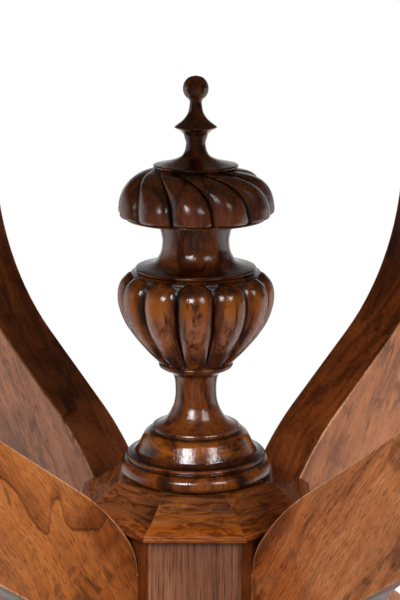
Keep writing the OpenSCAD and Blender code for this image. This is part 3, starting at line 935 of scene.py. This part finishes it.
def turned(name, runs, z, materials, node):
    # a lathe piece, closed on the axis, with a corner between one run and the next
    line = []
    for run in runs:
        for p in smoothRun(run, turning["steps"]):
            if not line or (p - line[-1]).length > 1e-5:
                line.append(p)
    model = bmesh.new()
    rings = []
    sides = turning["sides"]
    for p in line:
        radius, high = p.x / 1000, p.y / 1000 + z
        angles = [2 * math.pi * k / sides for k in range(sides if p.x > 1e-4 else 1)]
        ring = [(radius * math.cos(a), radius * math.sin(a), high) for a in angles]
        rings.append([model.verts.new(place) for place in ring])
    for low, high in zip(rings, rings[1:]):
        for k in range(sides):
            n = (k + 1) % sides
            corners = [low[k % len(low)], low[n % len(low)]]
            corners += [high[n % len(high)], high[k % len(high)]]
            corners = list(dict.fromkeys(corners))  # a ring on the axis is one vertex
            if len(corners) > 2:
                model.faces.new(corners)
    bmesh.ops.recalc_face_normals(model, faces=model.faces)
    mesh = bpy.data.meshes.new(name)
    model.to_mesh(mesh)
    model.free()
    for material in materials:
        mesh.materials.append(material)
    piece = bpy.data.objects.new(name, mesh)
    scene.collection.objects.link(piece)
    soften(piece, turning["arris"], 2, turning["limit"], 1)
    finishPiece(piece, node, "finial_wood", turning["sharp"])


def uprightGrain(tree):
    x, y, z = objectXyz(tree)
    return vector(tree, z, x + 3.0, y)


def turnedMasks(tree):
    # an amber bell, partly its tone and partly a painted warm reflection; painted shade and dark
    # reflection with some settled dark polish on the collar and under the bell, and painted shade
    # lines in the corners
    x, y, z = objectXyz(tree)
    collar, hollow, bell = [z.between(*finialBands[key]) for key in ("collar", "hollow", "bell")]
    patch = noise(tree, objectPlace(tree), (50.0, 50.0, 110.0), 3.0, 0.6, 1.2)
    corner = 0.0
    for high, half in finialCornerShades:
        corner = abs(z - high).ease(half, half * 0.3) + corner
    bell = bell * patch.ease(*bellAmberSheenFade)
    return {"bell": bell, "hollow": collar.atLeast(hollow), "corner": corner}


def makeTurnings():
    polish = polishedWood("finialRosewood", finialWood, uprightGrain, turnedMasks)
    worn = polishedWood("finialArris", wornRimHighlight, uprightGrain)
    turned("finialFoot", footOutline, capTop, [polish, worn], "finial_foot")
    turned("bowlBead", beadOutline, bowlZ, [polish, worn], None)
    turned("finialNeck", neckOutline, neckZ, [polish, worn], "finial_neck")
    turned("finialSpire", spireOutline, spireZ, [polish, worn], "finial_spire")
    for name in ("finial_foot", "finial_bowl", "finial_neck", "finial_lid", "finial_spire"):
        paintNode(name, polish)


makeTurnings()
print("turnings made")

# The gadrooned bowl and lid, each one Geometry Nodes tree

bowlSizes = {
    "Lobes": 12,
    "Points": 30,  # across one lobe
    "Levels": 120,
    "Radius": 0.0442,
    "Height": finialHigh["bowl"],
    "Groove": 0.0060,
    "Round": 0.60,  # power of a lobe's section: 0.5 is an ellipse
    "First": 15.0,  # where the first groove stands, in degrees from the front
    "Swirl": 0.0,
}
bowlLines = {  # from the bead up to the collar, as shares of the outline and of the sizes
    "radius": [
        (0, 0), (0.05, 0.44), (0.1, 0.4955), (0.17, 0.586), (0.26, 0.7), (0.37, 0.8235),
        (0.47, 0.9186), (0.57, 0.977), (0.67, 1.0), (0.79, 0.977), (0.875, 0.894), (0.915, 0.84),
        (0.945, 0.78), (0.97, 0.735), (1, 0),
    ],
    "height": [
        (0, 0.09), (0.05, 0.095), (0.1, 0.116), (0.17, 0.176), (0.26, 0.267), (0.37, 0.387),
        (0.47, 0.505), (0.57, 0.625), (0.67, 0.735), (0.79, 0.863), (0.875, 0.952),
        (0.915, 0.982), (0.945, 0.99), (0.97, 1.0), (1, 1),
    ],
    "plain": [
        (0, 0.6), (0.07, 0.6), (0.12, 0), (0.91, 0), (0.935, 0.6), (1, 0.6),
    ],
    "depth": [
        (0, 0), (0.05, 0), (0.08, 0.15), (0.14, 0.42), (0.26, 0.68), (0.45, 0.95), (0.6, 1),
        (0.75, 1), (0.84, 0.8), (0.89, 0.5), (0.915, 0.3), (0.925, 0), (1, 0),
    ],
    "fill": [
        (0, 0.75), (0.05, 0.75), (0.12, 0.92), (0.2, 1.0), (0.7, 1.0), (0.76, 0.99), (0.8, 0.96),
        (0.84, 0.88), (0.875, 0.7), (0.9, 0.45), (0.915, 0.12), (0.93, 0.05), (1, 0.05),
    ],
}
lidSizes = {
    "Lobes": 11,
    "Points": 32,
    "Levels": 100,
    "Radius": 0.0441,
    "Height": finialHigh["lid"],
    "Groove": 0.0056,
    "First": 0.0,
    "Swirl": 47.0,  # degrees that a groove turns between the rim and the disc
}
lidLines = {  # from the middle of the underside over the rim to the disc
    "radius": [
        (0, 0), (0.05, 0.86), (0.065, 0.885), (0.1, 0.885), (0.115, 0.865), (0.135, 0.945),
        (0.17, 0.99), (0.28, 0.998), (0.42, 0.975), (0.56, 0.928), (0.68, 0.865), (0.78, 0.78),
        (0.87, 0.668), (0.93, 0.56), (0.96, 0.5), (1, 0),
    ],
    "height": [
        (0, 0), (0.05, 0), (0.065, 0.012), (0.1, 0.045), (0.115, 0.06), (0.135, 0.072),
        (0.17, 0.11), (0.28, 0.24), (0.42, 0.43), (0.56, 0.6), (0.68, 0.73), (0.78, 0.835),
        (0.87, 0.92), (0.93, 0.97), (0.96, 1.0), (1, 1),
    ],
    "plain": [
        (0, 0.6), (0.12, 0.6), (0.14, 0), (0.9, 0), (0.95, 0.6), (1, 0.6),
    ],
    "depth": [
        (0, 0), (0.115, 0), (0.15, 0.9), (0.3, 1), (0.6, 1), (0.8, 0.85), (0.93, 0.45),
        (0.96, 0), (1, 0),
    ],
    "swirl": [
        (0, 1), (0.15, 1.0), (0.28, 0.98), (0.42, 0.95), (0.56, 0.88), (0.68, 0.78),
        (0.78, 0.64), (0.87, 0.42), (0.93, 0.2), (0.96, 0), (1, 0),
    ],
    # one lobe from groove to groove: a dome that ends in a steep lip
    "petal": [
        (0, 0), (0.04, 0.28), (0.12, 0.53), (0.25, 0.79), (0.4, 0.97), (0.5, 1), (0.6, 0.97),
        (0.76, 0.83), (0.88, 0.62), (0.95, 0.36), (1, 0),
    ],
}
carvedWood = {**finialWood, "groove": (0.9, (0.12, 0.10, 0.09), "MULTIPLY")}
bowlWood = {
    **carvedWood,
    # lighter backs of the lobes: partly wear and dust, partly a painted sheen
    "back": (0.80, (0.360, 0.120, 0.048), "MIX"),
    "backLevels": (0.20, 0.42, 0.60, 0.74),  # between these the wear and painted sheen fade in and out
    # a painted amber glow round the highlights on the lobes' tops
    "knob": (0.80, (0.350, 0.094, 0.006), "MIX"),
    "knobLevels": (0.58, 0.68, 0.74, 0.86),
}
lidWood = {
    **carvedWood,
    "mid": (0.092, 0.022, 0.007),
    "glowShare": 0.25,
    "rough": 0.20,
    "back": (0.65, (0.220, 0.058, 0.022), "MIX"),
    "backLevels": (0.10, 0.16, 0.25, 0.55),
}
wearAndSheenFades = {  # crowns of the lobes and patches over which the wear with its painted sheen, and the painted glow, fade in
    "back": ((0.55, 0.95), (0.34, 0.62)),
    "knob": ((0.45, 0.95), (0.32, 0.56)),
}
grooveFade = (0.50, 0.10)


def newTree(name, sizes):
    # a Geometry Nodes tree with one named input for each size
    tree = bpy.data.node_groups.new(name, "GeometryNodeTree")
    tree.interface.new_socket("Geometry", in_out="OUTPUT", socket_type="NodeSocketGeometry")
    for key, value in sizes.items():
        kind = "NodeSocketInt" if isinstance(value, int) else "NodeSocketFloat"
        socket = tree.interface.new_socket(key, in_out="INPUT", socket_type=kind)
        socket.default_value = value
    given = addNode(tree, "NodeGroupInput")
    return tree, {key: given.other(key) for key in sizes}


def lobedTree(name, sizes, lines, z, material):
    # a lattice of levels and angles, bent round the axis; the grooves are cut where the rounded
    # backs of the lobes fall away
    tree, size = newTree(name, sizes)
    across = size["Lobes"] * size["Points"] + 1
    grid = addNode(tree, "GeometryNodeMeshGrid", {}, {0: 1.0, 1: 1.0, 2: across, 3: size["Levels"]})
    spot = addNode(tree, "GeometryNodeInputPosition")
    flat = addNode(tree, "ShaderNodeSeparateXYZ", {}, {0: spot})
    share, level = flat + 0.5, flat.other("Y") + 0.5

    def line(key, value=level):
        return addNode(tree, "ShaderNodeFloatCurve", {"curve": lines[key]}, {1: value})

    x = (share * size["Lobes"]).fraction()
    if "petal" in lines:
        back = line("petal", x)
        swirl = line("swirl") * size["Swirl"]
    else:
        wide = (x * 2 - 1) / line("fill")
        back = (1 - wide * wide).atLeast(0.0) ** size["Round"]
        swirl = size["Swirl"]
    angle = (share * 360.0 + swirl + size["First"]) * math.radians(1.0)
    groove = size["Groove"] * line("depth") * (1 - back)
    radius = (size["Radius"] * line("radius") - groove).atLeast(0.0)
    high = size["Height"] * line("height") + z
    marked = grid  # the marks are set on the flat lattice, whose places give them
    for key, value in (("crown", back.atLeast(line("plain"))), ("level", level)):
        storing = {"data_type": "FLOAT", "domain": "POINT"}
        sockets = {0: marked, "Name": key, "Value": value}
        marked = addNode(tree, "GeometryNodeStoreNamedAttribute", storing, sockets)
    spot = vector(tree, radius * angle.sine(), radius * angle.cosine() * -1, high)
    bent = addNode(tree, "GeometryNodeSetPosition", {}, {"Geometry": marked, "Position": spot})
    closed = addNode(tree, "GeometryNodeMergeByDistance", {}, {"Geometry": bent, "Distance": 1e-6})
    finishTree(tree, closed, material)
    return tree


def finishTree(tree, geometry, material):
    real = addNode(tree, "GeometryNodeRealizeInstances", {}, {"Geometry": geometry})
    painted = addNode(tree, "GeometryNodeSetMaterial", {}, {"Geometry": real, "Material": material})
    addNode(tree, "NodeGroupOutput", {}, {0: painted})


def growPiece(name, tree, sizes, node, slot):
    # runs the tree on an empty mesh and keeps the result as a plain mesh
    piece = bpy.data.objects.new(name, bpy.data.meshes.new(name))
    scene.collection.objects.link(piece)
    grow = piece.modifiers.new("grow", "NODES")
    grow.node_group = tree
    for item in tree.interface.items_tree:
        if item.in_out == "INPUT":
            grow[item.identifier] = sizes[item.name]
    applyModifiers(piece)
    model = bmesh.new()
    model.from_mesh(piece.data)
    bmesh.ops.remove_doubles(model, verts=model.verts, dist=1e-6)
    bmesh.ops.recalc_face_normals(model, faces=model.faces)
    model.to_mesh(piece.data)
    model.free()
    finishPiece(piece, node, slot, 50.0)


def carvedMasks(look):
    # backs of the lobes, partly worn and partly a painted sheen, a painted glow round the
    # highlights on their tops, and the dark polish that stays in the grooves
    def masks(tree):
        crown = addNode(tree, "ShaderNodeAttribute", {"attribute_name": "crown"}, {}, out="Fac")
        level = addNode(tree, "ShaderNodeAttribute", {"attribute_name": "level"}, {}, out="Fac")
        patch = noise(tree, objectPlace(tree), (230.0, 230.0, 55.0), 4.0, 0.65, 0.6)
        made = {}
        for key, (crowns, patches) in wearAndSheenFades.items():
            if key in look:
                worn = crown.ease(*crowns) * patch.ease(*patches)
                made[key] = worn * level.between(*look[key + "Levels"])
        return {**made, "groove": crown.ease(*grooveFade)}

    return masks


def makeLobed():
    carved = polishedWood("carvedRosewood", bowlWood, uprightGrain, carvedMasks(bowlWood))
    tree = lobedTree("gadroonedBowl", bowlSizes, bowlLines, bowlZ, carved)
    growPiece("finialBowl", tree, bowlSizes, "finial_bowl", "finial_wood")
    carved = polishedWood("carvedLidRosewood", lidWood, uprightGrain, carvedMasks(lidWood))
    tree = lobedTree("swirledLid", lidSizes, lidLines, lidZ, carved)
    growPiece("finialLid", tree, lidSizes, "finial_lid", "finial_wood")


makeLobed()
print("bowl and lid made")

# The screws that hold the top, in the counterbores of the bearers

screwSizes = {
    "Inner": 0.070,  # distance from the middle
    "Outer": 0.170,
    "Shank": 0.0022,
    "Head": 0.0042,
    "Thick": 0.0026,
    "Length": 0.034,
    "Slot": 0.0009,
}
screwPlaces = {
    "sink": 0.010,  # from the bearer's underside up to the head
    "slotLength": 0.02,
    "spin": 1.9,  # radians between the slots of one screw and the next
}
screwSteel = {
    "dark": (0.20, 0.19, 0.18),
    "light": (0.46, 0.45, 0.44),
    "grain": 900.0,
    "fade": (0.30, 0.70),
    "rough": 0.28,
    "wear": 0.3,
    "gloss": {"relief": 0.00003, "metal": 1.0},
}


def steel():
    material, tree = newMaterial("screwSteel")
    worn = noise(tree, objectPlace(tree), screwSteel["grain"], 3.0)
    share = worn.ease(*screwSteel["fade"])
    colour = mixColour(tree, share, screwSteel["dark"], screwSteel["light"])
    rough = screwSteel["rough"] + worn * screwSteel["wear"]
    finishMaterial(tree, colour, rough, worn, screwSteel["gloss"])
    return material


def screwTree(material):
    # one slotted screw, set eight times: two on each diagonal
    tree, size = newTree("bearerScrews", screwSizes)

    def moved(mesh, high):
        rise = vector(tree, 0.0, 0.0, high)
        return addNode(tree, "GeometryNodeTransform", {}, {0: mesh, "Translation": rise})

    def cylinder(radius, depth):
        sockets = {"Radius": size[radius], "Depth": size[depth]}
        return addNode(tree, "GeometryNodeMeshCylinder", {}, sockets)

    sink = bearerZ + screwPlaces["sink"]
    head, shank = cylinder("Head", "Thick"), cylinder("Shank", "Length")
    bar = vector(tree, size["Slot"], screwPlaces["slotLength"], size["Slot"] * 2)
    slot = moved(addNode(tree, "GeometryNodeMeshCube", {}, {0: bar}), size["Thick"] * -0.5)
    cut = addNode(tree, "GeometryNodeMeshBoolean", {"operation": "DIFFERENCE"}, {0: head, 1: slot})
    pieces = addNode(tree, "GeometryNodeJoinGeometry")
    joined = pieces.socket.node.inputs[0]
    for mesh, high in ((cut, sink - size["Thick"] * 0.5), (shank, sink + size["Length"] * 0.5)):
        tree.links.new(moved(mesh, high).socket, joined)
    points = addNode(tree, "GeometryNodePoints", {}, {0: 8})
    index = addNode(tree, "GeometryNodeInputIndex")
    arm = index.maths("FLOOR", index / 2)
    turn = (arm * 2 + 1) * eighth
    far = size["Inner"] + (index - arm * 2) * (size["Outer"] - size["Inner"])
    spot = vector(tree, far * turn.cosine(), far * turn.sine(), 0.0)
    points = addNode(tree, "GeometryNodeSetPosition", {}, {"Geometry": points, "Position": spot})
    spin = vector(tree, 0.0, 0.0, index * screwPlaces["spin"])
    sockets = {0: points, "Instance": pieces, "Rotation": spin}
    screws = addNode(tree, "GeometryNodeInstanceOnPoints", {}, sockets)
    finishTree(tree, screws, material)
    return tree


def makeScrews():
    metal = steel()
    growPiece("bearerScrews", screwTree(metal), screwSizes, "bearer_screws", "screw_steel")
    paintNode("bearer_screws", metal)


makeScrews()
print("screws made")

newLow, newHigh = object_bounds()
{"cad": [list(cadLow), list(cadHigh)], "visual": [list(newLow), list(newHigh)]}
